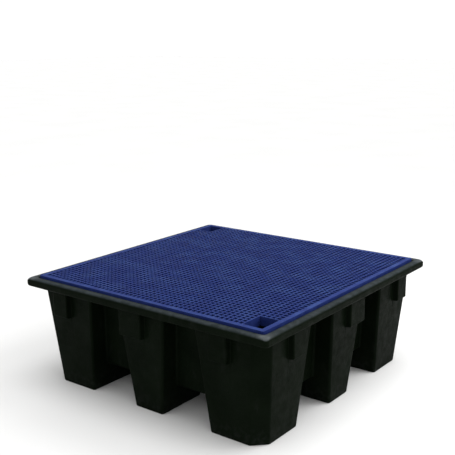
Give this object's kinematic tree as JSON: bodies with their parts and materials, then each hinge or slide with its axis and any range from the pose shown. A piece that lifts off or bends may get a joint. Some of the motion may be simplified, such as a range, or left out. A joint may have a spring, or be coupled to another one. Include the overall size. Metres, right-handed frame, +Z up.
{
  "type": "spill containment pallet",
  "caption": "Square plastic spill pallet: a sump on hollow tapered legs with fork channels, loose columns inside the legs, and a lift-out grate on top.",
  "frame": {"origin": "on the floor under the middle of the pallet", "axes": "+Z up; the four sides face +X, -X, +Y and -Y; the hand holes in the grate are at the (+X, -Y) and (-X, +Y) corners"},
  "size_m": [1.2, 1.2, 0.452],
  "materials": {
    "black_polyethylene": "satin rotomoulded",
    "blue_grate": "satin moulded",
    "grey_column": "satin extruded pipe"
  },
  "bodies": {
    "base": {"sump": "black_polyethylene", "support_post_front_left": "grey_column", "support_post_centre_left": "grey_column", "support_post_back_left": "grey_column", "support_post_front_middle": "grey_column", "support_post_centre_middle": "grey_column", "support_post_back_middle": "grey_column", "support_post_front_right": "grey_column", "support_post_centre_right": "grey_column", "support_post_back_right": "grey_column"},
    "deck": {"grate": "blue_grate"}
  },
  "joints": [
    {"name": "grate_lift", "type": "slide", "parent": "base", "child": "deck", "axis": [0, 0, 1], "range_m": [0, 0.3]}
  ]
}
